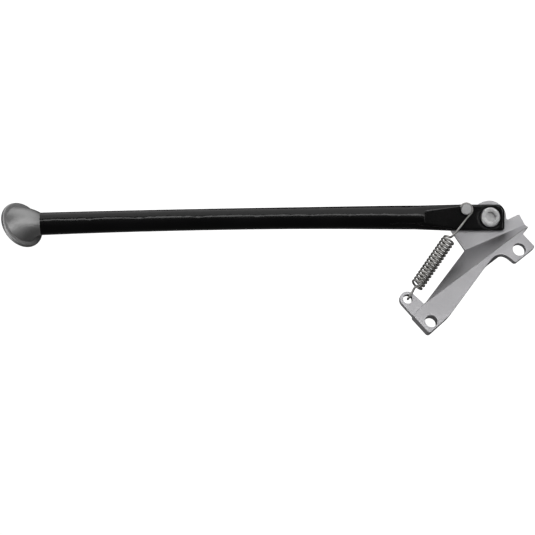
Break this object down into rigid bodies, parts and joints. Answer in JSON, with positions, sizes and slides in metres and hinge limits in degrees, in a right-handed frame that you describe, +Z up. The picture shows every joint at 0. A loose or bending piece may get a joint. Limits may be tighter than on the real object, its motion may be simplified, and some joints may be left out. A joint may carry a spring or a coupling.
{
  "type": "motorcycle side stand",
  "caption": "Folding side stand: black tapered leg with a round tilted foot, clevis pivot, tension spring and a bolt-on bracket.",
  "frame": {"origin": "centre of the rear (upper) frame bolt hole on the mounting face", "axes": "+Z up and +X towards the rear as fitted, -Y outboard, square to the mounting face; the leg is folded up"},
  "size_m": [0.3989, 0.069, 0.2217],
  "materials": {
    "bracket_metal": "satin, finely blasted, with machined edges",
    "bronze": "sintered bronze",
    "black_paint": "gloss black",
    "cast_metal": "cast, softly polished",
    "dark_steel": "oiled spring steel",
    "bolt_steel": "satin",
    "zinc_plate": "bright zinc",
    "nylon": "moulded nylon",
    "post_steel": "satin turned",
    "spring_steel": "bright zinc wire"
  },
  "bodies": {
    "bracket": {"frame_bracket": "bracket_metal", "outer_bush": "bronze", "inner_bush": "bronze"},
    "leg": {"leg": "black_paint", "foot": "cast_metal", "foot_pin": "dark_steel", "pivot_bolt": "bolt_steel", "pivot_sleeve": "bolt_steel", "pivot_washer": "zinc_plate", "lock_nut": "zinc_plate", "nut_insert": "nylon", "spring_post": "post_steel"},
    "spring_lower": {"lower_spring": "spring_steel"},
    "spring_upper": {"upper_spring": "spring_steel"}
  },
  "joints": [
    {"name": "leg_fold", "type": "hinge", "parent": "bracket", "child": "leg", "pos_m": [-0.00182, 0.00199, -0.10905], "axis": [0.0674, 0.9402, -0.3338], "range_deg": [0, 154], "deforming": ["upper_spring", "lower_spring"]},
    {"name": "spring_swing", "type": "hinge", "parent": "bracket", "child": "spring_lower", "pos_m": [0.0251, -0.0045, -0.0078], "axis": [0.0674, 0.9402, -0.3338], "range_deg": [0, 17.8]},
    {"name": "spring_stretch", "type": "slide", "parent": "spring_lower", "child": "spring_upper", "axis": [-0.1018, -0.3263, -0.9398], "range_m": [0, 0.0259]}
  ],
  "couplings": [
    {"joint": "spring_swing", "follows": "leg_fold", "ratio": 0.11509},
    {"joint": "spring_stretch", "follows": "leg_fold", "m_per_rad": 0.009532}
  ]
}
